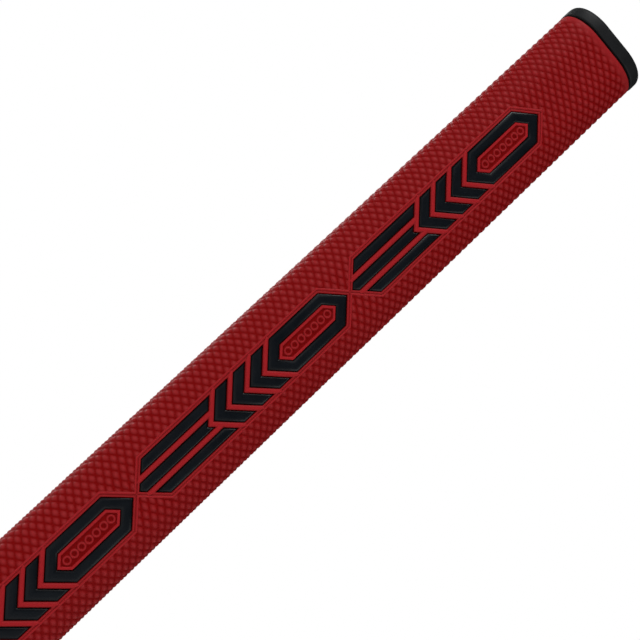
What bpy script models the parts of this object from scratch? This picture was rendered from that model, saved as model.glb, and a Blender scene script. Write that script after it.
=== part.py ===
"""Oversize putter grip: a foam core with a bonded polyurethane skin, a rubber cap and a rubber tip ring.

Metres, +Z up. The shaft's axis is the Z axis, with the tip's mouth at Z = 0 and the butt at the top.
The flat front face points along -Y, and its black fills lie in pockets of the skin.
"""

from math import atan2, cos, pi, sin, sqrt

import bmesh
import bpy

for old in list(bpy.data.objects):
    bpy.data.objects.remove(old, do_unlink=True)

# Overall section: a flat front, two elliptical shoulders and an elliptical back.
GRIP_LENGTH = 0.267
GRIP_WIDTH = 0.029
FRONT_FLAT_WIDTH = 0.0090
SHOULDER_DEPTH = 0.0078
BACK_DEPTH = 0.0177

# Walls and ends.
SKIN_WALL = 0.0018
SKIN_END_ROUND = 0.0010
CAP_FLANGE = 0.0047
CAP_ROUND = 0.0023
TIP_FLANGE = 0.0030
TIP_ROUND = 0.0014

# The shaft's way in, and what seats in the core's two ends.
BORE_RADIUS = 0.00735
SPIGOT_WALL = 0.00145
CAP_PLUG_LENGTH = 0.0090
TIP_SPIGOT_LENGTH = 0.0050
VENT_RADIUS = 0.0015

# Fills: a band of motifs down the front, read from the butt to the tip.
BAND_WIDTH = 0.0116
STROKE = 0.0031
BAR_GAP = 0.0015
MOTIF_START = 0.0309
RING_LENGTH = 0.0300
BAR_LENGTH = 0.0240
NEST_GAP = 0.0021
CHEVRONS = 3
PERIODS = 2
POCKET_DEPTH = 0.0011
FILL_RECESS = 0.00025

# Clearance kept between any two pieces, the angle that stays a sharp edge, and the steps along each curve.
CLEARANCE = 0.0003
SMOOTH_ANGLE = 0.6
ROUND_STEPS = 3
SHOULDER_STEPS = 8
BACK_STEPS = 24
FLAT_STEPS = 4

# Worked out from the above.
FRONT_Y = -(SHOULDER_DEPTH + BACK_DEPTH) / 2
WIDEST_Y = FRONT_Y + SHOULDER_DEPTH
SKIN_BOTTOM = TIP_FLANGE + CLEARANCE
SKIN_TOP = GRIP_LENGTH - CAP_FLANGE - CLEARANCE
CORE_INSET = SKIN_WALL + CLEARANCE
PLUG_RADIUS = BORE_RADIUS + SPIGOT_WALL
SEAT_RADIUS = PLUG_RADIUS + CLEARANCE


def material(name, colour, roughness):
    """A plain non-metallic Principled material."""
    made = bpy.data.materials.new(name)
    made.use_nodes = True
    shader = made.node_tree.nodes["Principled BSDF"]
    shader.inputs["Base Color"].default_value = (*colour, 1.0)
    shader.inputs["Roughness"].default_value = roughness
    shader.inputs["Metallic"].default_value = 0.0
    return made


def finished(name, bm, surface):
    """Turns a bmesh into a named object with outward faces, smooth where the surface is round."""
    bmesh.ops.recalc_face_normals(bm, faces=bm.faces[:])
    mesh = bpy.data.meshes.new(name)
    bm.to_mesh(mesh)
    bm.free()
    mesh.materials.append(surface)
    mesh.shade_smooth()
    mesh.set_sharp_from_angle(angle=SMOOTH_ANGLE)
    obj = bpy.data.objects.new(name, mesh)
    bpy.context.scene.collection.objects.link(obj)
    return obj


def ellipse_arc(centre, half_x, half_y, start, end, steps):
    """Points along part of an ellipse, from start to end in radians, without the last one."""
    turns = [start + (end - start) * i / steps for i in range(steps)]
    return [(centre[0] + half_x * cos(a), centre[1] + half_y * sin(a)) for a in turns]


def section(inset):
    """The grip's outline in X and Y, moved inwards by inset, counter-clockwise from the front's left end."""
    flat = FRONT_FLAT_WIDTH / 2
    half_x = GRIP_WIDTH / 2 - inset
    shoulder_x = half_x - flat
    shoulder_y = SHOULDER_DEPTH - inset
    back_y = BACK_DEPTH - inset
    front = [(-flat + 2 * flat * i / FLAT_STEPS, FRONT_Y + inset) for i in range(FLAT_STEPS)]
    right = ellipse_arc((flat, WIDEST_Y), shoulder_x, shoulder_y, -pi / 2, 0, SHOULDER_STEPS)
    back = ellipse_arc((0, WIDEST_Y), half_x, back_y, 0, pi, BACK_STEPS)
    left = ellipse_arc((-flat, WIDEST_Y), shoulder_x, shoulder_y, pi, 3 * pi / 2, SHOULDER_STEPS)
    return front + right + back + left


def circle(radius):
    """A circle about the shaft's axis, with one point at the bearing of each point of the section."""
    bearings = [atan2(y, x) for x, y in section(0)]
    return [(radius * cos(a), radius * sin(a)) for a in bearings]


def lofted(name, rings, surface):
    """A closed solid through rings of (outline, z), the last one joined back to the first."""
    bm = bmesh.new()
    loops = [[bm.verts.new((x, y, z)) for x, y in outline] for outline, z in rings]
    for low, high in zip(loops, loops[1:] + loops[:1]):
        for i, corner in enumerate(low):
            after = (i + 1) % len(low)
            bm.faces.new((corner, low[after], high[after], high[i]))
    return finished(name, bm, surface)


def rounded_rim(radius, edge_z, direction):
    """Rings round an outer edge: from the flat end face at edge_z to the side, direction away from it."""
    turns = [pi / 2 * i / ROUND_STEPS for i in range(ROUND_STEPS + 1)]
    return [(section(radius * (1 - sin(a))), edge_z + direction * radius * (1 - cos(a))) for a in turns]


def foam_core():
    """The underlisting: its outside follows the skin, with a bore for the shaft and a seat at each end."""
    foam = material("foam", (0.020, 0.020, 0.022), 0.85)
    outer = section(CORE_INSET)
    tip_seat = SKIN_BOTTOM + TIP_SPIGOT_LENGTH
    butt_seat = SKIN_TOP - CAP_PLUG_LENGTH
    rings = [
        (outer, SKIN_BOTTOM),
        (outer, SKIN_TOP),
        (circle(SEAT_RADIUS), SKIN_TOP),
        (circle(SEAT_RADIUS), butt_seat),
        (circle(BORE_RADIUS), butt_seat),
        (circle(BORE_RADIUS), tip_seat),
        (circle(SEAT_RADIUS), tip_seat),
        (circle(SEAT_RADIUS), SKIN_BOTTOM),
    ]
    lofted("foam_core", rings, foam)


def butt_cap():
    """The cap: a flange with the grip's section, a plug that closes the core, and a vent through both."""
    rubber = material("cap_rubber", (0.012, 0.012, 0.013), 0.55)
    plug_bottom = SKIN_TOP - CAP_PLUG_LENGTH + CLEARANCE
    flange_bottom = GRIP_LENGTH - CAP_FLANGE
    rings = [(circle(VENT_RADIUS), GRIP_LENGTH)]
    rings += rounded_rim(CAP_ROUND, GRIP_LENGTH, -1)
    rings += [
        (section(0), flange_bottom),
        (circle(PLUG_RADIUS), flange_bottom),
        (circle(PLUG_RADIUS), plug_bottom),
        (circle(VENT_RADIUS), plug_bottom),
    ]
    lofted("butt_cap", rings, rubber)


def tip_ring():
    """The ring at the shaft's mouth: a flange with the grip's section and a spigot inside the core."""
    rubber = material("tip_rubber", (0.012, 0.012, 0.013), 0.55)
    spigot_top = SKIN_BOTTOM + TIP_SPIGOT_LENGTH - CLEARANCE
    rings = [(circle(BORE_RADIUS), 0.0)]
    rings += rounded_rim(TIP_ROUND, 0.0, 1)
    rings += [
        (section(0), TIP_FLANGE),
        (circle(PLUG_RADIUS), TIP_FLANGE),
        (circle(PLUG_RADIUS), spigot_top),
        (circle(BORE_RADIUS), spigot_top),
    ]
    lofted("tip_ring", rings, rubber)


def grown(outline, by):
    """A polygon of (x, z) points moved outwards by a distance, its corners kept sharp."""
    around = list(zip(outline, outline[1:] + outline[:1]))
    area = sum(a[0] * b[1] - b[0] * a[1] for a, b in around)
    side = 1 if area > 0 else -1
    normals = []
    for (ax, az), (bx, bz) in around:
        length = sqrt((bx - ax) ** 2 + (bz - az) ** 2)
        normals.append((side * (bz - az) / length, side * (ax - bx) / length))
    moved = []
    for i, (x, z) in enumerate(outline):
        (px, pz), (nx, nz) = normals[i - 1], normals[i]
        reach = by / (1 + px * nx + pz * nz)
        moved.append((x + reach * (px + nx), z + reach * (pz + nz)))
    return moved


def pointed_ring(top):
    """A long hexagon ring with its upper point at top: the outer outline and the hole's."""
    half = BAND_WIDTH / 2
    bottom = top - RING_LENGTH
    outer = [
        (0, top), (-half, top - half), (-half, bottom + half),
        (0, bottom), (half, bottom + half), (half, top - half),
    ]  # fmt: skip
    return outer, grown(outer, -STROKE)


def chevron(top):
    """A V that points to the tip, with the notch's lowest point at top."""
    half = BAND_WIDTH / 2
    drop = STROKE * sqrt(2)
    return [(0, top), (-half, top + half), (-half, top + half - drop), (0, top - drop),
            (half, top + half - drop), (half, top + half)]  # fmt: skip


def bars(top):
    """Three bars side by side, their ends cut along a V that points to the tip, its notch at top."""
    bottom = top - BAR_LENGTH
    width = (BAND_WIDTH - 2 * BAR_GAP) / 3
    inner = width / 2 + BAR_GAP
    outer = BAND_WIDTH / 2
    middle = [(0, top), (-width / 2, top + width / 2), (-width / 2, bottom + width / 2),
              (0, bottom), (width / 2, bottom + width / 2), (width / 2, top + width / 2)]  # fmt: skip
    left = [(-inner, top + inner), (-outer, top + outer), (-outer, bottom + outer), (-inner, bottom + inner)]
    right = [(-x, z) for x, z in reversed(left)]
    return [left, middle, right]


def motif():
    """Every fill as (name, outer outline, hole's outline or None), from the butt to the tip."""
    fills = []
    top = SKIN_TOP - MOTIF_START
    drop = STROKE * sqrt(2)
    for period in range(PERIODS + 1):
        fills.append((f"fill_ring_{period + 1}", *pointed_ring(top)))
        top -= RING_LENGTH + NEST_GAP
        for i in range(CHEVRONS):
            fills.append((f"fill_chevron_{CHEVRONS * period + i + 1}", chevron(top), None))
            top -= drop + NEST_GAP
        if period == PERIODS:
            break
        for name, outline in zip(("left", "middle", "right"), bars(top)):
            fills.append((f"fill_bar_{name}_{period + 1}", outline, None))
        top -= BAR_LENGTH + NEST_GAP
    return fills


def add_prism(bm, outline, hole, front, back):
    """Adds an outline of (x, z) points, less its hole, as a solid from front to back in Y."""
    if hole:
        outlines = [(outline, front), (outline, back), (hole, back), (hole, front)]
        loops = [[bm.verts.new((x, y, z)) for x, z in points] for points, y in outlines]
        pairs = list(zip(loops, loops[1:] + loops[:1]))
    else:
        loops = [[bm.verts.new((x, y, z)) for x, z in outline] for y in (front, back)]
        pairs = [(loops[0], loops[1])]
        bm.faces.new(loops[0])
        bm.faces.new(loops[1])
    for first, second in pairs:
        for i, corner in enumerate(first):
            after = (i + 1) % len(first)
            bm.faces.new((corner, first[after], second[after], second[i]))


def front_fills():
    """Each black fill lies on its pocket's floor, a little below the skin's surface."""
    black = material("fill_black", (0.010, 0.010, 0.012), 0.35)
    front = FRONT_Y + FILL_RECESS
    back = FRONT_Y + POCKET_DEPTH - CLEARANCE
    for name, outline, hole in motif():
        bm = bmesh.new()
        add_prism(bm, outline, hole, front, back)
        finished(name, bm, black)


def pocket_cutter():
    """One cutter for all pockets: every fill's outline with the clearance round it."""
    bm = bmesh.new()
    outside = FRONT_Y - POCKET_DEPTH
    floor = FRONT_Y + POCKET_DEPTH
    for _, outline, hole in motif():
        smaller_hole = grown(hole, -CLEARANCE) if hole else None
        add_prism(bm, grown(outline, CLEARANCE), smaller_hole, outside, floor)
    cutter = finished("pocket_cutter", bm, bpy.data.materials["skin"])
    cutter.hide_render = True
    cutter.display_type = "WIRE"
    return cutter


def outer_skin():
    """The skin: one wall of even thickness round the core, open at both ends, with pockets in its front."""
    red = material("skin", (0.190, 0.012, 0.012), 0.55)
    inner = section(SKIN_WALL)
    rings = rounded_rim(SKIN_END_ROUND, SKIN_BOTTOM, 1)
    rings += reversed(rounded_rim(SKIN_END_ROUND, SKIN_TOP, -1))
    rings += [(inner, SKIN_TOP), (inner, SKIN_BOTTOM)]
    skin = lofted("outer_skin", rings, red)
    pockets = skin.modifiers.new("pockets", "BOOLEAN")
    pockets.operation = "DIFFERENCE"
    pockets.solver = "EXACT"
    pockets.object = pocket_cutter()


foam_core()
outer_skin()
front_fills()
butt_cap()
tip_ring()
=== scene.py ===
import bpy
import numpy as np
from mathutils import Matrix, Vector


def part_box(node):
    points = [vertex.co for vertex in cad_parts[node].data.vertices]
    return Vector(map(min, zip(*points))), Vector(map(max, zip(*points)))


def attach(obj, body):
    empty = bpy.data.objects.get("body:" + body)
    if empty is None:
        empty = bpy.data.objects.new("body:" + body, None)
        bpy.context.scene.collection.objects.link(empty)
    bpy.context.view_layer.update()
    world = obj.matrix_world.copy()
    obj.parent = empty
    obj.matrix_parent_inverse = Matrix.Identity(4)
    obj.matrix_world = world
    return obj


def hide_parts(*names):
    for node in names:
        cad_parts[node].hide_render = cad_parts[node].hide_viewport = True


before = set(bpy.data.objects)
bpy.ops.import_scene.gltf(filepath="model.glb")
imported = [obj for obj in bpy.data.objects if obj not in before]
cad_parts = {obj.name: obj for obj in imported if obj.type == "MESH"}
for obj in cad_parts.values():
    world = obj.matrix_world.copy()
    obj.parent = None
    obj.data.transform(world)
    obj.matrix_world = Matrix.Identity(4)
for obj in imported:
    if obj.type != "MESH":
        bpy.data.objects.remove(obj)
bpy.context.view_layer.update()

# Foam core -------------------------------------------------------------------------------------
# The underlisting that the skin is bonded to: closed-cell foam moulded round the shaft's bore, with a
# wider seat at each end. The grip's section starts here: a flat front, two shoulders and a round back.

FLAT_WIDTH = 0.0090          # the flat of the front, between its two shoulders
SHOULDER_DEPTH = 0.0078      # from the front flat back to the widest point
SKIN_WALL = 0.0018
CLEARANCE = 0.0003           # between any two pieces
BORE_RADIUS = 0.00735
SPIGOT_WALL = 0.00145
PLUG_RADIUS = BORE_RADIUS + SPIGOT_WALL
SEAT_RADIUS = PLUG_RADIUS + CLEARANCE
CAP_PLUG_LENGTH = 0.0090
TIP_SPIGOT_LENGTH = 0.0050
FLAT_POINTS = 300            # points of the stored outline, on the flat and on each quarter ellipse
CURVE_POINTS = 900
RING_POINTS = 192            # points of each ring that a solid is lofted through
ROUND_STEPS = 5              # mesh steps round a small rounded edge
SHARP_ANGLE = 0.6            # edges that turn by more than this stay sharp
FOAM_BLACK = (0.016, 0.016, 0.017)
FOAM_GREY = (0.030, 0.030, 0.031)
FOAM_PATCHES = (0.35, 0.65)  # the patch noise's values where the first colour ends and the second is full

skin_low, skin_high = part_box("outer_skin")
core_low, core_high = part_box("foam_core")
half_width = skin_high.x
front_y = skin_low.y
widest_y = front_y + SHOULDER_DEPTH


def half_section():
    """Half the outline, from the front's middle to the back's: a straight run, a quarter ellipse from the
    flat's end to the widest point, and a quarter ellipse from there to the middle of the back."""
    flat = FLAT_WIDTH / 2
    run = np.column_stack([np.linspace(0, flat, FLAT_POINTS), np.full(FLAT_POINTS, front_y)])
    turn = np.linspace(0, np.pi / 2, CURVE_POINTS)[1:, None]
    shoulder_x = flat + (half_width - flat) * np.sin(turn)
    shoulder = np.hstack([shoulder_x, widest_y - SHOULDER_DEPTH * np.cos(turn)])
    back = np.hstack([half_width * np.cos(turn), widest_y + (skin_high.y - widest_y) * np.sin(turn)])
    return np.vstack([run, shoulder, back])


outline = half_section()
along_outline = np.concatenate([[0], np.cumsum(np.hypot(*np.diff(outline, axis=0).T))])
tangent = np.gradient(outline, along_outline, axis=0)
tangent /= np.linalg.norm(tangent, axis=1)[:, None]
perimeter = 2 * along_outline[-1]


def section(s, inset):
    """X and Y at arc length s round the section, from the front's middle and positive to +X, moved inwards
    along the outline's normal by inset. The left half mirrors the right one."""
    x, y, tx, ty = (np.interp(np.abs(s), along_outline, v) for v in (*outline.T, *tangent.T))
    return np.where(s < 0, -1.0, 1.0) * (x - ty * inset), y + tx * inset


def mesh_piece(name, points, *faces, normals=None):
    """A smooth mesh from an array of points and arrays of faces, one array for each number of corners."""
    mesh = bpy.data.meshes.new(name)
    corners = np.concatenate([f.ravel() for f in faces]).astype(np.int32)
    sizes = np.concatenate([np.full(len(f), f.shape[1]) for f in faces])
    mesh.vertices.add(len(points))
    mesh.vertices.foreach_set("co", np.asarray(points, np.float32).ravel())
    mesh.loops.add(len(corners))
    mesh.loops.foreach_set("vertex_index", corners)
    mesh.polygons.add(len(sizes))
    mesh.polygons.foreach_set("loop_start", (np.cumsum(sizes) - sizes).astype(np.int32))
    mesh.update(calc_edges=True)
    mesh.shade_smooth()
    if normals is not None:
        mesh.normals_split_custom_set_from_vertices(normals)
    obj = bpy.data.objects.new(name, mesh)
    bpy.context.scene.collection.objects.link(obj)
    return obj


def loop_quads(rows, columns, closed=False):
    """Quads between the rows of a grid whose columns close into loops; closed joins the last row to the
    first. Rows that rise while their points run counter-clockwise give outward faces."""
    r, c = np.meshgrid(np.arange(rows if closed else rows - 1), np.arange(columns), indexing="ij")
    up, over = (r + 1) % rows, (c + 1) % columns
    quads = [r * columns + c, r * columns + over, up * columns + over, up * columns + c]
    return np.stack(quads, -1).reshape(-1, 4)


def lofted(name, rings, sharp=SHARP_ANGLE):
    """A closed solid through rings of points, the last one joined back to the first, its edges kept sharp
    where two faces meet at more than an angle."""
    piece = mesh_piece(name, np.vstack(rings), loop_quads(len(rings), len(rings[0]), closed=True))
    piece.data.set_sharp_from_angle(angle=sharp)
    return piece


ring_s = (np.arange(RING_POINTS) + 0.5) * perimeter / RING_POINTS - perimeter / 2
ring_bearing = np.arctan2(*section(ring_s, 0)[::-1])


def section_ring(inset, z):
    """A ring of points along the section, moved inwards by inset, at one height."""
    return np.column_stack([*section(ring_s, inset), np.full(RING_POINTS, z)])


def round_ring(radius, z):
    """A circle about the shaft's axis, with each point at the bearing of the section's point."""
    circle = radius * np.cos(ring_bearing), radius * np.sin(ring_bearing)
    return np.column_stack([*circle, np.full(RING_POINTS, z)])


def rounding(make, side, face, steps=ROUND_STEPS):
    """Rings round an edge as a quarter turn. side and face are (inset or radius, z): the turn leaves side
    along Z and meets face across it."""
    turn = np.linspace(0, np.pi / 2, steps + 1)
    return [make(side[0] + (face[0] - side[0]) * (1 - np.cos(a)), side[1] + (face[1] - side[1]) * np.sin(a))
            for a in turn]


foam_core = lofted("foam_core_moulded", [
    section_ring(SKIN_WALL + CLEARANCE, core_low.z),
    section_ring(SKIN_WALL + CLEARANCE, core_high.z),
    round_ring(SEAT_RADIUS, core_high.z),
    round_ring(SEAT_RADIUS, core_high.z - CAP_PLUG_LENGTH),
    round_ring(BORE_RADIUS, core_high.z - CAP_PLUG_LENGTH),
    round_ring(BORE_RADIUS, core_low.z + TIP_SPIGOT_LENGTH),
    round_ring(SEAT_RADIUS, core_low.z + TIP_SPIGOT_LENGTH),
    round_ring(SEAT_RADIUS, core_low.z),
])


def grain_group():
    """Node group for moulded surfaces: fine pebbles with noise on them as a height, and broad soft patches
    as a mask. Each material sets the scale of both."""
    group = bpy.data.node_groups.new("moulded_grain", "ShaderNodeTree")
    for socket in ("Grain Scale", "Patch Scale"):
        group.interface.new_socket(socket, in_out="INPUT", socket_type="NodeSocketFloat")
    for socket in ("Height", "Patches"):
        group.interface.new_socket(socket, in_out="OUTPUT", socket_type="NodeSocketFloat")
    add, link = group.nodes.new, group.links.new
    inputs, outputs = add("NodeGroupInput"), add("NodeGroupOutput")
    place = add("ShaderNodeTexCoord")
    pebbles = add("ShaderNodeTexVoronoi")
    pebbles.feature = "SMOOTH_F1"
    pebbles.inputs["Smoothness"].default_value = 0.6
    fine = add("ShaderNodeTexNoise")
    fine.inputs["Detail"].default_value = 3.0
    both = add("ShaderNodeMath")
    both.operation = "ADD"
    patch = add("ShaderNodeTexNoise")
    patch.inputs["Detail"].default_value = 4.0
    patch.inputs["Roughness"].default_value = 0.6
    for texture, scale in ((pebbles, "Grain Scale"), (fine, "Grain Scale"), (patch, "Patch Scale")):
        link(place.outputs["Object"], texture.inputs["Vector"])
        link(inputs.outputs[scale], texture.inputs["Scale"])
    link(pebbles.outputs["Distance"], both.inputs[0])
    link(fine.outputs["Fac"], both.inputs[1])
    link(both.outputs[0], outputs.inputs["Height"])
    link(patch.outputs["Fac"], outputs.inputs["Patches"])
    return group


moulded_grain = grain_group()


def moulded_material(name, grain_scale, grain_depth, patch_scale):
    """A Principled material with the moulded grain as its bump. Returns it with its tree, its shader and the
    mask of soft patches."""
    material = bpy.data.materials.new(name)
    material.use_nodes = True
    tree = material.node_tree
    shader = tree.nodes["Principled BSDF"]
    grain = tree.nodes.new("ShaderNodeGroup")
    grain.node_tree = moulded_grain
    grain.inputs["Grain Scale"].default_value = grain_scale
    grain.inputs["Patch Scale"].default_value = patch_scale
    bump = tree.nodes.new("ShaderNodeBump")
    bump.inputs["Strength"].default_value = 1.0
    bump.inputs["Distance"].default_value = grain_depth
    tree.links.new(grain.outputs["Height"], bump.inputs["Height"])
    tree.links.new(bump.outputs["Normal"], shader.inputs["Normal"])
    return material, tree, shader, grain.outputs["Patches"]


def ranged(tree, value, low, high, at_low=0, at_high=1):
    """A Map Range from low..high to at_low..at_high, held at both ends."""
    node = tree.nodes.new("ShaderNodeMapRange")
    for socket, number in zip(("From Min", "From Max", "To Min", "To Max"), (low, high, at_low, at_high)):
        node.inputs[socket].default_value = number
    tree.links.new(value, node.inputs["Value"])
    return node.outputs["Result"]


MIX_COLOURS = (6, 7)         # a colour Mix node's two colour inputs, by number
MIX_RESULT = 2               # and its colour output


def mixed(tree, factor, *colours):
    """A colour Mix by factor, between two colours that are plain triples or other nodes' outputs."""
    node = tree.nodes.new("ShaderNodeMix")
    node.data_type = "RGBA"
    tree.links.new(factor, node.inputs["Factor"])
    for number, colour in zip(MIX_COLOURS, colours):
        if isinstance(colour, tuple):
            node.inputs[number].default_value = (*colour, 1.0)
        else:
            tree.links.new(colour, node.inputs[number])
    return node.outputs[MIX_RESULT]


foam, tree, shader, patches = moulded_material(
    "closed_cell_foam", grain_scale=900.0, grain_depth=0.00012, patch_scale=120.0)
tint = mixed(tree, ranged(tree, patches, *FOAM_PATCHES), FOAM_BLACK, FOAM_GREY)
tree.links.new(tint, shader.inputs["Base Color"])
shader.inputs["Roughness"].default_value = 0.9
foam_core.data.materials.append(foam)
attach(foam_core, "root")
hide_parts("foam_core")

# Skin: the textured wrap -----------------------------------------------------------------------
# One sheet of moulded polyurethane, bonded round the core and closed in one seam along the back. Its
# diamonds stand up between two families of crossing grooves, and die out in a smooth rim at each end.

COLUMNS = 24                 # diamonds round the section
DIAMOND_SHAPE = 2 / 3        # a diamond's length along the grip for its width round it
DIAMOND_RISE = 0.00036       # from the grooves to the diamonds' tops
FLANK_CURVE = 1.6            # how soon a diamond's flank levels out, 1 for a straight one
WRAP_STEPS = 8               # mesh steps along and across each diamond
END_ROUND = 0.0010           # the skin's rounded outer edge at each end
END_STEPS = 5
FADE_START, FADE_END = 0.0001, 0.0026    # from each end, where the diamonds start and are full
RIM_LEVEL = 0.00012          # the smooth rim, below the diamonds' tops
RIM_RELIEF, RIM_PLAIN = 0.75, 0.6        # the rim's values in the two masks that paint shade, sheen and highlight into the skin's colour
SEAM_BAND = 0.0011           # plain skin on each side of the back seam
SEAM_WIDTH, SEAM_DEPTH = 0.00018, 0.00035
INNER_EVERY = 4              # outer columns to each column of the hidden inner wall
NORMAL_REACH = 0.00007       # from a point to the neighbours that its normal is worked out from
PANEL_COLUMNS = 4            # columns of diamonds left to the front panel
# The grooves' red is darker as painted shade. The diamonds' tops, with the dusty patches on them, are pinker
# as a painted sheen.
GROOVE_SHADE_RED = (0.195, 0.0002, 0.0004)
DIAMOND_SHEEN_RED = (0.325, 0.0215, 0.0245)
DUST_AND_SHEEN_RED = (0.270, 0.0120, 0.0135)
# The plain red is lighter as a painted highlight on the smooth raised keylines, bars, studs and rims.
PLAIN_HIGHLIGHT_RED = (0.350, 0.0130, 0.0170)
RED_PATCHES = (0.35, 0.7)
DUSTY_SHARE = 0.5            # of the dusty red with its painted sheen, at most, where a patch is full
GROOVE_END = 0.1             # the relief mask's value up to which the groove's painted shade holds
PLAIN_START = 0.5            # the plain mask's value from which the plain red's painted highlight comes in
GROOVE_ROUGHNESS, TOP_ROUGHNESS = 0.62, 0.46

straight_low = skin_low.z + END_ROUND
straight_length = skin_high.z - END_ROUND - straight_low
column_pitch = perimeter / COLUMNS
diamond_rows = round(straight_length / (column_pitch * DIAMOND_SHAPE))
row_pitch = straight_length / diamond_rows


def eased(low, high, value):
    """0 up to low, 1 from high on, and an even S-curve between them."""
    t = np.clip((value - low) / (high - low), 0, 1)
    return t * t * (3 - 2 * t)


def diamonds(s, z):
    """1 on a diamond's top and 0 in the grooves. Two families of grooves cross like the two hands of a
    screw thread. The rise from each is a curve of the distance to it, and the two are multiplied."""
    across, along = s / column_pitch, (z - straight_low) / row_pitch
    rise = 1.0
    for phase in (across + along, across - along):
        off_middle = 1 - 2 * np.abs(phase - np.round(phase))
        rise = rise * (1 - off_middle ** FLANK_CURVE)
    return rise


def wrap_relief(s, z):
    """How far the skin lies below the diamonds' tops, with two masks: its relief and how plain it is. The
    diamonds die out near the ends and beside the back seam, which is a narrow rounded groove."""
    to_end = np.minimum(z - straight_low, straight_low + straight_length - z)
    to_seam = perimeter / 2 - np.abs(s)
    textured = eased(FADE_START, FADE_END, to_end) * eased(SEAM_BAND / 2, SEAM_BAND, to_seam)
    rise = diamonds(s, z)
    inset = textured * DIAMOND_RISE * (1 - rise) + (1 - textured) * RIM_LEVEL
    seam = np.exp(-((to_seam / SEAM_WIDTH) ** 2))
    # The relief mask dips in the seam, which paints shade into its groove.
    relief = textured * rise + RIM_RELIEF * (1 - textured) - seam
    return inset + SEAM_DEPTH * seam, relief, RIM_PLAIN * (1 - textured)


def skin_point(s, t, relief):
    """Points of the skin at arc length s round it and t along it, with the masks. Past the straight part t
    goes on round the end's quarter turn."""
    beyond = np.where(t < 0, -t, np.maximum(t - straight_length, 0)) / END_ROUND
    z = straight_low + np.clip(t, 0, straight_length)
    inset, rise, plain = relief(s, z)
    x, y = section(s, inset + END_ROUND * (1 - np.cos(beyond)))
    z = z + np.where(t < 0, -1.0, 1.0) * END_ROUND * np.sin(beyond)
    return np.stack([x, y, z], -1), rise, plain


def skin_normals(s, t, relief):
    """Outward normals, from points a short reach to each side, so that pieces agree where they meet."""
    over = skin_point(s + NORMAL_REACH, t, relief)[0] - skin_point(s - NORMAL_REACH, t, relief)[0]
    up = skin_point(s, t + NORMAL_REACH, relief)[0] - skin_point(s, t - NORMAL_REACH, relief)[0]
    normals = np.cross(over, up)
    return normals / np.linalg.norm(normals, axis=-1, keepdims=True)


def lengthwise(steps):
    """The values of t from end to end, with steps for each diamond: a quarter turn, the straight part and
    the other quarter turn."""
    straight = np.linspace(0, straight_length, diamond_rows * steps + 1)
    turn = END_ROUND * np.pi / 2 * np.arange(1, END_STEPS + 1) / END_STEPS
    return np.concatenate([-turn[::-1], straight, straight_length + turn])


def skin_shell(name, s, points, normals, rise, plain):
    """A closed piece of skin: the outer grid, an inner wall one skin thickness in with fewer columns, the
    two sides, and a face for each inner step at both ends. Each outer cell is cut along the diagonal whose
    ends differ least in relief, which keeps grooves and edges straight."""
    rows, columns = points.shape[:2]
    inner_s = s[0, ::INNER_EVERY]
    inner = np.empty((rows, len(inner_s), 3))
    inner[..., 0], inner[..., 1] = section(inner_s, SKIN_WALL)
    inner[..., 2] = points[:, :1, 2]
    ring = np.concatenate([points, inner[:, ::-1]], axis=1)
    width = ring.shape[1]
    quads = loop_quads(rows, width)
    cell = np.arange(len(quads)) % width
    a, b, c, d = quads[cell < columns - 1].T
    rising = np.abs(rise[:-1, :-1] - rise[1:, 1:]) <= np.abs(rise[:-1, 1:] - rise[1:, :-1])
    cuts = [np.stack(corners, -1) for corners in ((a, b, c, a, c, d), (a, b, d, b, c, d))]
    triangles = np.where(rising.reshape(-1, 1), *cuts).reshape(-1, 3)
    k = np.arange(len(inner_s) - 1)[:, None]
    top_end = np.hstack([k * INNER_EVERY + np.arange(INNER_EVERY + 1), width - 2 - k, width - 1 - k])
    ends = np.vstack([top_end[:, ::-1], top_end + (rows - 1) * width])
    inwards = np.zeros_like(inner)
    inwards[..., :2] = np.column_stack(section(inner_s, 1)) - np.column_stack(section(inner_s, 0))
    all_normals = np.concatenate([normals, inwards[:, ::-1]], axis=1).reshape(-1, 3)
    faces = triangles, quads[cell >= columns - 1], ends
    piece = mesh_piece(name, ring.reshape(-1, 3), *faces, normals=all_normals)
    for label, values in (("relief", rise), ("plain", plain)):
        spread = np.concatenate([values, np.ones(inner.shape[:2])], axis=1).astype(np.float32)
        piece.data.attributes.new(label, "FLOAT", "POINT").data.foreach_set("value", spread.ravel())
    return piece


polyurethane, tree, shader, patches = moulded_material(
    "red_polyurethane", grain_scale=5200.0, grain_depth=0.000012, patch_scale=45.0)
# The relief mask paints shade into the grooves, the seam and the low floors, and paints a sheen onto the
# tops. The plain mask paints a highlight onto the smooth raised parts.
masks = {}
for label in ("relief", "plain"):
    attribute = tree.nodes.new("ShaderNodeAttribute")
    attribute.attribute_name = label
    masks[label] = attribute.outputs["Fac"]
tint = mixed(tree, ranged(tree, patches, *RED_PATCHES, 0, DUSTY_SHARE), DIAMOND_SHEEN_RED, DUST_AND_SHEEN_RED)
tint = mixed(tree, ranged(tree, masks["relief"], GROOVE_END, 1), GROOVE_SHADE_RED, tint)
tint = mixed(tree, ranged(tree, masks["plain"], PLAIN_START, 1), tint, PLAIN_HIGHLIGHT_RED)
tree.links.new(tint, shader.inputs["Base Color"])
roughness = ranged(tree, masks["relief"], 0, 1, GROOVE_ROUGHNESS, TOP_ROUGHNESS)
tree.links.new(roughness, shader.inputs["Roughness"])
shader.inputs["Specular IOR Level"].default_value = 0.06


def finish_skin(piece):
    """Gives a piece of skin its material and its place in the frame."""
    piece.data.materials.append(polyurethane)
    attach(piece, "root")
    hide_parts("outer_skin")


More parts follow.
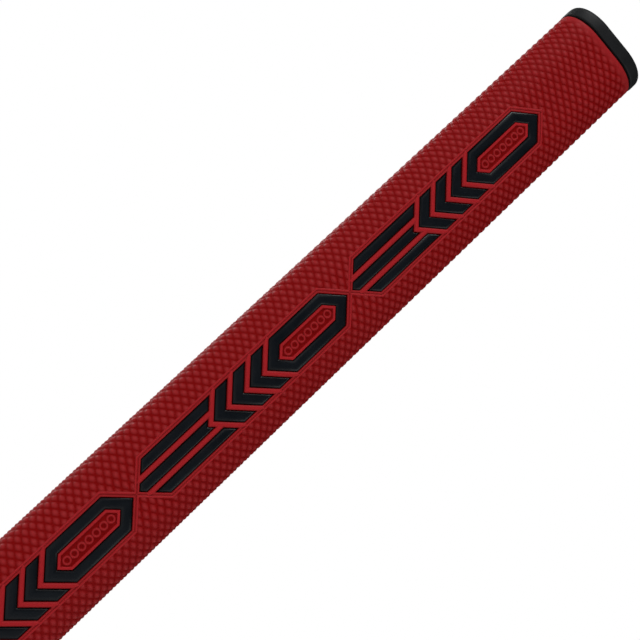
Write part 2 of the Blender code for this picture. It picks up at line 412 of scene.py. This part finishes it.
panel_half = PANEL_COLUMNS * column_pitch / 2
wrap_cells = (COLUMNS - PANEL_COLUMNS) // 2 * WRAP_STEPS
wrap_t = lengthwise(WRAP_STEPS)
for label, start, stop in (("right", panel_half, perimeter / 2), ("left", -perimeter / 2, -panel_half)):
    s, t = np.meshgrid(np.linspace(start, stop, wrap_cells + 1), wrap_t)
    points, rise, plain = skin_point(s, t, wrap_relief)
    normals = skin_normals(s, t, wrap_relief)
    finish_skin(skin_shell(f"skin_wrap_{label}", s, points, normals, rise, plain))

# Skin: the front panel -------------------------------------------------------------------------
# The same sheet over the front flat, in a finer mesh. Pockets for the black fills are moulded into it,
# each inside a low lip, a smooth margin and a thin raised keyline, and the pointed rings hold a row of
# round studs.

PANEL_STEPS = 16             # mesh steps along each diamond, with 24 across, so that cells are square
PANEL_PARTS = 3              # lengths that the panel is made in
STROKE = 0.0031              # the width of a pointed ring's black stroke
POCKET_DEPTH = 0.00100
POCKET_FROM, POCKET_TO = -0.00003, 0.00009   # the pocket's wall, by distance outside the fill's edge
MARGIN_LEVEL = 0.00030       # the margin's floor, below the diamonds' tops
MARGIN_MASK = 0.4            # the floor's value in both masks, with 1 on top of the keylines
LIP_AT, LIP_HALF, LIP_RISE = 0.00032, 0.00034, 0.00016   # middle line, half width and height
KEYLINE_AT, KEYLINE_HALF, KEYLINE_RISE = 0.00112, 0.00034, 0.00030
TEXTURE_FROM, TEXTURE_FULL = 0.00132, 0.00152
NARROW_FROM, NARROW_TO = 0.001575, 0.00175   # closer fills have one plain raised bar between them
BAR_FROM, BAR_FULL = 0.00018, 0.00042
FIELD_LEVEL = 0.00046        # the floor of a ring's field, inside its flat border
BORDER_LEVEL = 0.00008
BORDER_FROM, BORDER_TO = 0.00066, 0.00092
STUDS = 7                    # in each row, each one a small raised circle
STUD_PITCH, STUD_RADIUS, STUD_HALF, STUD_RISE = 0.00245, 0.00092, 0.00040, 0.00036
STUD_MASK = 0.8              # a stud's value in both masks, with 0 on the field's floor

ring_nodes = sorted(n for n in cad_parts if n.startswith("fill_ring_"))
slant_nodes = sorted(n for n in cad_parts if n.startswith(("fill_chevron_", "fill_bar_")))


def hexagon_distance(x, z, half, top, bottom):
    """How far a point is outside a long upright hexagon with square points, negative inside it."""
    slanting = np.maximum(np.abs(x) + z - top, np.abs(x) - z + bottom) * np.sqrt(0.5)
    return np.maximum(np.abs(x) - half, slanting)


def slant_distance(x, z, near, far, top, drop):
    """How far a point is outside a bar that runs from |x| = near to far, with both ends cut along a V whose
    notch is at top and which is drop high. A chevron is such a bar that starts at zero."""
    ends = np.maximum(z - top - np.abs(x), top - drop + np.abs(x) - z) * np.sqrt(0.5)
    sides = np.abs(x) - far if near == 0 else np.maximum(near - np.abs(x), np.abs(x) - far)
    return np.maximum(ends, sides)


def slant_shape(node):
    """A chevron's or a bar's near, far, top and drop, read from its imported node."""
    low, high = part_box(node)
    near = 0 if low.x < 0 < high.x else min(abs(low.x), abs(high.x))
    far = max(abs(low.x), abs(high.x))
    top = high.z - far
    return near, far, top, top - (low.z - near)


point_stroke = STROKE * np.sqrt(2)
ring_shapes = [(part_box(n)[1].x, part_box(n)[1].z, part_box(n)[0].z) for n in ring_nodes]
hole_shapes = [(half - STROKE, top - point_stroke, bottom + point_stroke)
               for half, top, bottom in ring_shapes]
slant_shapes = [slant_shape(n) for n in slant_nodes if "left" not in n]      # a right bar stands for both


def bead(distance, middle, half):
    """A rounded bead's rise, 1 on its middle line and 0 from half its width on."""
    return np.cos(np.pi / 2 * np.clip((distance - middle) / half, -1, 1))


def panel_relief(s, z):
    """The diamonds, changed where the fills are. Round a fill come a low lip, a margin, a keyline at a set
    distance, and then the diamonds. Between two close fills is one plain raised bar. Inside a ring a flat
    border runs round a lower field, which a row of round studs stands on."""
    inset, rise, plain = wrap_relief(s, z)
    in_ring = np.zeros(s.shape, bool)
    stud = np.zeros(s.shape)
    distances = [slant_distance(s, z, *shape) for shape in slant_shapes]
    for shape, hole_shape in zip(ring_shapes, hole_shapes):
        hole = -hexagon_distance(s, z, *hole_shape)
        distances.append(np.maximum(hexagon_distance(s, z, *shape), hole))
        in_ring |= hole > 0
        along = z - (shape[1] + shape[2]) / 2
        from_stud = along - np.clip(np.round(along / STUD_PITCH), -(STUDS // 2), STUDS // 2) * STUD_PITCH
        stud = np.maximum(stud, bead(np.hypot(s, from_stud), STUD_RADIUS, STUD_HALF))
    nearest, second = np.partition(np.stack(distances), 1, axis=0)[:2]
    close = 1 - eased(NARROW_FROM, NARROW_TO, nearest + second)
    bar = eased(BAR_FROM, BAR_FULL, nearest) * close
    keyline = bead(nearest, KEYLINE_AT, KEYLINE_HALF)
    lip = LIP_RISE / KEYLINE_RISE * bead(nearest, LIP_AT, LIP_HALF)
    line = np.maximum(np.maximum(keyline, bar), lip)
    field = eased(BORDER_FROM, BORDER_TO, nearest)
    ring_inset = BORDER_LEVEL + (FIELD_LEVEL - BORDER_LEVEL - STUD_RISE * stud) * field
    # These masks paint light. A ring's field floor and the margin's floor get the grooves' painted shade.
    # The border, studs, keylines and bars get the painted sheen and highlight.
    ring_mask = 1 - field * (1 - STUD_MASK * stud)
    moulded = np.where(in_ring, ring_inset, MARGIN_LEVEL - KEYLINE_RISE * line)
    moulded_mask = np.where(in_ring, ring_mask, MARGIN_MASK + (1 - MARGIN_MASK) * line)
    textured = eased(TEXTURE_FROM, TEXTURE_FULL, nearest) * (1 - bar) * ~in_ring
    inset = textured * inset + (1 - textured) * moulded
    pocket = 1 - eased(POCKET_FROM, POCKET_TO, nearest)
    inset = inset + pocket * (POCKET_DEPTH - inset)
    # The pocket drives the relief mask below zero, which paints shade into it.
    rise = textured * rise + (1 - textured) * moulded_mask - pocket
    return inset, rise, textured * plain + (1 - textured) * moulded_mask


panel_t = lengthwise(PANEL_STEPS)
panel_cells = round(panel_half * 2 / (row_pitch / PANEL_STEPS) / INNER_EVERY) * INNER_EVERY
s, t = np.meshgrid(np.linspace(-panel_half, panel_half, panel_cells + 1), panel_t)
points, rise, plain = skin_point(s, t, panel_relief)
normals = skin_normals(s, t, panel_relief)
for edge in (0, -1):         # both sides follow the coarser wrap's edge, so that no gap opens
    edge_s = np.full(wrap_t.shape, s[0, edge])
    edge_points = skin_point(edge_s, wrap_t, wrap_relief)[0]
    edge_normals = skin_normals(edge_s, wrap_t, wrap_relief)
    for axis in range(3):
        points[:, edge, axis] = np.interp(panel_t, wrap_t, edge_points[:, axis])
        normals[:, edge, axis] = np.interp(panel_t, wrap_t, edge_normals[:, axis])
cuts = np.linspace(0, len(panel_t) - 1, PANEL_PARTS + 1).astype(int)
for part, (first, last) in enumerate(zip(cuts[:-1], cuts[1:] + 1)):
    name = f"skin_front_{part + 1}"
    finish_skin(skin_shell(name, *(grid[first:last] for grid in (s, points, normals, rise, plain))))

# Black fills -----------------------------------------------------------------------------------
# Black polyurethane in the front's pockets: pointed rings, chevrons and bars. Each has a domed face, with
# its middle a tenth of a millimetre below the keylines and its edges turned down into the pocket.

FILL_CROWN = 0.00010         # the dome's top, its edge and the fill's back, below the diamonds' tops
FILL_EDGE = 0.00062
FILL_BACK = 0.00080
FILL_GAP = 0.00006           # between the fill and its pocket's wall
DOME_WIDTH = 0.00110         # from the edge to where the dome is flat
DOME_STEPS = 9
MITRE_ANGLE = 0.5            # edges that turn by more than this stay sharp, at the mitred corners

# The fill's edge is near black as painted shade where it turns down into the pocket. Its crown is lighter
# and bluish as a painted reflection, varied at random by worn patches.
EDGE_SHADE_BLACK = (0.0010, 0.0010, 0.0012)
CROWN_REFLECTION_BLACK = (0.0026, 0.0042, 0.0064)
WORN_AND_REFLECTION_BLACK = (0.0040, 0.0058, 0.0084)
EDGE_END = 0.35              # the crown mask's value up to which the edge's painted shade holds
BLACK_PATCHES = (0.3, 0.7)
FILL_ROUGHNESS = (0.30, 0.38)

fill_black, tree, shader, patches = moulded_material(
    "black_fill", grain_scale=4200.0, grain_depth=0.000010, patch_scale=150.0)
crown_mask = tree.nodes.new("ShaderNodeAttribute")
crown_mask.attribute_name = "crown"
tint = mixed(tree, ranged(tree, patches, *BLACK_PATCHES), CROWN_REFLECTION_BLACK, WORN_AND_REFLECTION_BLACK)
tint = mixed(tree, ranged(tree, crown_mask.outputs["Fac"], EDGE_END, 1), EDGE_SHADE_BLACK, tint)
tree.links.new(tint, shader.inputs["Base Color"])
tree.links.new(ranged(tree, patches, *BLACK_PATCHES, *FILL_ROUGHNESS), shader.inputs["Roughness"])
shader.inputs["Specular IOR Level"].default_value = 0.15

front_outline = outline[:FLAT_POINTS + CURVE_POINTS - 1]


def moved_in(corners, by):
    """A polygon of (x, z) corners, counter-clockwise from the front, moved inwards with sharp corners."""
    edge = np.roll(corners, -1, axis=0) - corners
    normal = np.column_stack([-edge[:, 1], edge[:, 0]]) / np.linalg.norm(edge, axis=1)[:, None]
    before = np.roll(normal, 1, axis=0)
    reach = by / (1 + np.sum(normal * before, axis=1))
    return corners + (normal + before) * reach[:, None]


def front_at(x):
    """Y of the front's surface at x, on the outline from the middle to the widest point."""
    return np.interp(np.abs(x), *front_outline.T)


def fill_ring(corners, by, depth):
    """The polygon moved in by a distance, at a depth below the diamonds' tops on the section."""
    x, z = moved_in(corners, by).T
    return np.column_stack([x, front_at(x) + depth, z])


def domed(corners, side=1):
    """Rings from the fill's back to its crown, in the shape of a quarter ellipse. side is -1 for a hole,
    which the fill lies outside of."""
    turn = np.linspace(0, np.pi / 2, DOME_STEPS + 1)
    reach = FILL_GAP + DOME_WIDTH * (1 - np.cos(turn))
    depth = FILL_EDGE - (FILL_EDGE - FILL_CROWN) * np.sin(turn)
    rings = [fill_ring(corners, side * by, at) for by, at in zip(reach, depth)]
    return [fill_ring(corners, side * FILL_GAP, FILL_BACK), *rings]


def mark_crown(piece):
    """Stores how near each point is to the crown, by its depth below the front: 0 at the edge, 1 on top."""
    points = np.empty((len(piece.data.vertices), 3), np.float32)
    piece.data.vertices.foreach_get("co", points.ravel())
    depth = points[:, 1] - front_at(points[:, 0])
    # This mask paints shade at the fill's edge and a reflection on its crown.
    crown = np.clip((FILL_EDGE - depth) / (FILL_EDGE - FILL_CROWN), 0, 1).astype(np.float32)
    piece.data.attributes.new("crown", "FLOAT", "POINT").data.foreach_set("value", crown)


def hexagon(half, top, bottom):
    """The corners of a long upright hexagon with square points, counter-clockwise from the front."""
    return np.array([(0, top), (-half, top - half), (-half, bottom + half),
                     (0, bottom), (half, bottom + half), (half, top - half)])


def slanted(near, far, top, drop):
    """The corners of a bar on the right, or of a whole chevron where near is zero, counter-clockwise."""
    if near > 0:
        return np.array([(near, top + near), (near, top - drop + near),
                         (far, top - drop + far), (far, top + far)])
    return np.array([(0, top), (-far, top + far), (-far, top - drop + far),
                     (0, top - drop), (far, top - drop + far), (far, top + far)])


def finish_fill(piece, node):
    """Gives a fill its crown mask, its material and its place in the frame."""
    mark_crown(piece)
    piece.data.materials.append(fill_black)
    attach(piece, "root")
    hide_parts(node)


for node, shape, hole_shape in zip(ring_nodes, ring_shapes, hole_shapes):
    rings = domed(hexagon(*shape)) + domed(hexagon(*hole_shape), side=-1)[::-1]
    finish_fill(lofted(f"{node}_domed", rings, MITRE_ANGLE), node)

for node in slant_nodes:
    corners = slanted(*slant_shape(node))
    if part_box(node)[1].x < 0:        # a bar on the left is a mirrored one
        corners = (corners * (-1, 1))[::-1]
    rings = domed(corners)
    count = len(corners)
    crown = np.arange(count)[None, :] + (len(rings) - 1) * count
    back = np.arange(count)[None, ::-1]
    piece = mesh_piece(f"{node}_domed", np.vstack(rings), loop_quads(len(rings), count), crown, back)
    piece.data.set_sharp_from_angle(angle=MITRE_ANGLE)
    finish_fill(piece, node)

# Butt cap --------------------------------------------------------------------------------------
# One rubber moulding: a flange with a well rounded rim that closes the grip, a plug that seats in the
# core, and a small vent through both that lets the air out as the shaft goes in.

VENT_RADIUS = 0.0015
VENT_ROUND = 0.0004
CAP_ROUND = 0.0023           # the rim's radius
CAP_STEPS = 12               # mesh steps round the rim
HEM_ROUND = 0.0004           # the small round of a flange's edge that faces the skin
RUBBER_BLACK = (0.0050, 0.0058, 0.0066)
RUBBER_GREY = (0.0085, 0.0095, 0.0105)
RUBBER_ROUGHNESS = (0.52, 0.66)

cap_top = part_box("butt_cap")[1].z
plug_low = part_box("butt_cap")[0].z
flange_low = skin_high.z + CLEARANCE

butt_cap = lofted("butt_cap_moulded", [
    *rounding(section_ring, (0, flange_low + HEM_ROUND), (HEM_ROUND, flange_low))[::-1],
    *rounding(section_ring, (0, cap_top - CAP_ROUND), (CAP_ROUND, cap_top), CAP_STEPS),
    section_ring(CAP_ROUND + HEM_ROUND, cap_top),
    round_ring(VENT_RADIUS + 2 * VENT_ROUND, cap_top),
    *rounding(round_ring, (VENT_RADIUS, cap_top - VENT_ROUND), (VENT_RADIUS + VENT_ROUND, cap_top))[::-1],
    round_ring(VENT_RADIUS, plug_low),
    *rounding(round_ring, (PLUG_RADIUS, plug_low + HEM_ROUND), (PLUG_RADIUS - HEM_ROUND, plug_low))[::-1],
    round_ring(PLUG_RADIUS, flange_low),
])
rubber, tree, shader, patches = moulded_material(
    "black_rubber", grain_scale=3200.0, grain_depth=0.000020, patch_scale=90.0)
tint = mixed(tree, ranged(tree, patches, *BLACK_PATCHES), RUBBER_BLACK, RUBBER_GREY)
tree.links.new(tint, shader.inputs["Base Color"])
tree.links.new(ranged(tree, patches, *BLACK_PATCHES, *RUBBER_ROUGHNESS), shader.inputs["Roughness"])
shader.inputs["Specular IOR Level"].default_value = 0.18
butt_cap.data.materials.append(rubber)
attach(butt_cap, "root")
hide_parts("butt_cap")

# Tip ring --------------------------------------------------------------------------------------
# The same rubber round the shaft's mouth: a flange with the grip's section, a rounded lower edge, and a
# spigot that seats in the core.

TIP_ROUND = 0.0014
TIP_STEPS = 10               # mesh steps round the lower edge
MOUTH_ROUND = 0.0005         # round the shaft's mouth

tip_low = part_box("tip_ring")[0].z
spigot_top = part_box("tip_ring")[1].z
tip_flange_top = skin_low.z - CLEARANCE

tip_ring = lofted("tip_ring_moulded", [
    *rounding(round_ring, (BORE_RADIUS, tip_low + MOUTH_ROUND), (BORE_RADIUS + MOUTH_ROUND, tip_low)),
    section_ring(TIP_ROUND + HEM_ROUND, tip_low),
    *rounding(section_ring, (0, tip_low + TIP_ROUND), (TIP_ROUND, tip_low), TIP_STEPS)[::-1],
    *rounding(section_ring, (0, tip_flange_top - HEM_ROUND), (HEM_ROUND, tip_flange_top)),
    round_ring(PLUG_RADIUS, tip_flange_top),
    round_ring(PLUG_RADIUS, spigot_top),
    round_ring(BORE_RADIUS, spigot_top),
])
tip_ring.data.materials.append(rubber)
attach(tip_ring, "root")
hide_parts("tip_ring")

# Studio ----------------------------------------------------------------------------------------
# A pale floor under the tip that glows a little, and a white backdrop that is dim as a light. Square soft
# lights stand high on the left, in front, on the right, and behind on the left, where two of them draw a
# thin sheen along the grip's edge. The camera is close and looks up along the grip.

FLOOR_RADIUS = 6.0
FLOOR_CORNERS = 96
FLOOR_GLOW = 0.26
FLOOR_WHITE = (0.84, 0.84, 0.84)
FLOOR_GREY = (0.80, 0.80, 0.80)
BACKDROP_DIM = 0.07          # the backdrop's strength as a light, with 1 as the camera sees it
CAMERA_AT = (-0.0513, -0.3687, 0.0400)
CAMERA_LENS = 79.6
CAMERA_TURN, CAMERA_TILT, CAMERA_ROLL = 8.17, 16.0, 46.54

corner = np.linspace(0, 2 * np.pi, FLOOR_CORNERS, endpoint=False)
disc = np.column_stack([np.cos(corner), np.sin(corner), np.zeros(FLOOR_CORNERS)]) * FLOOR_RADIUS
floor = mesh_piece("studio_floor", disc, np.arange(FLOOR_CORNERS)[None, :])
floor_paint, tree, shader, patches = moulded_material(
    "studio_paint", grain_scale=300.0, grain_depth=0.00005, patch_scale=3.0)
tree.links.new(mixed(tree, patches, FLOOR_GREY, FLOOR_WHITE), shader.inputs["Base Color"])
shader.inputs["Roughness"].default_value = 0.8
shader.inputs["Emission Color"].default_value = (1.0, 1.0, 1.0, 1.0)
shader.inputs["Emission Strength"].default_value = FLOOR_GLOW
floor.data.materials.append(floor_paint)

world = bpy.data.worlds.new("studio")
world.use_nodes = True
tree = world.node_tree
backdrop = tree.nodes["Background"]
seen = tree.nodes.new("ShaderNodeLightPath").outputs["Is Camera Ray"]
tree.links.new(ranged(tree, seen, 0, 1, BACKDROP_DIM, 1), backdrop.inputs["Strength"])
backdrop.inputs["Color"].default_value = (1.0, 1.0, 1.0, 1.0)
bpy.context.scene.world = world
bpy.context.scene.view_settings.view_transform = "Standard"

turn, tilt, roll = np.radians([CAMERA_TURN, CAMERA_TILT, CAMERA_ROLL])
turned = Matrix.Rotation(-turn, 4, "Z")
tilted = Matrix.Rotation(np.pi / 2 + tilt, 4, "X")
rolled = Matrix.Rotation(roll, 4, "Z")
camera_data = bpy.data.cameras.new("camera")
camera_data.lens = CAMERA_LENS
camera_data.sensor_width = 36.0
camera_data.clip_start = 0.01
camera = bpy.data.objects.new("camera", camera_data)
camera.matrix_world = Matrix.Translation(CAMERA_AT) @ turned @ tilted @ rolled
bpy.context.scene.collection.objects.link(camera)
bpy.context.scene.camera = camera


def area_light(name, power, size, towards, distance):
    """A square soft light, a distance away from the grip's middle on the side given, facing it."""
    data = bpy.data.lights.new(name, "AREA")
    data.energy = power
    data.size = size
    light = bpy.data.objects.new(name, data)
    away = Vector(towards).normalized()
    place = Matrix.Translation((skin_low + skin_high) / 2 + away * distance)
    light.matrix_world = place @ away.to_track_quat("Z", "Y").to_matrix().to_4x4()
    bpy.context.scene.collection.objects.link(light)


area_light("key", 13.0, 0.45, (-0.50, -0.34, 0.80), 1.5)
area_light("front", 1.65, 0.5, (-0.35, -0.80, 0.48), 1.2)
area_light("right", 2.6, 0.5, (0.8, -0.6, 0.0), 0.9)
area_light("rim", 3.5, 0.5, (-0.55, 0.85, 0.3), 0.9)
area_light("left_rim", 0.45, 0.5, (-0.9, 0.4, 0.2), 0.9)
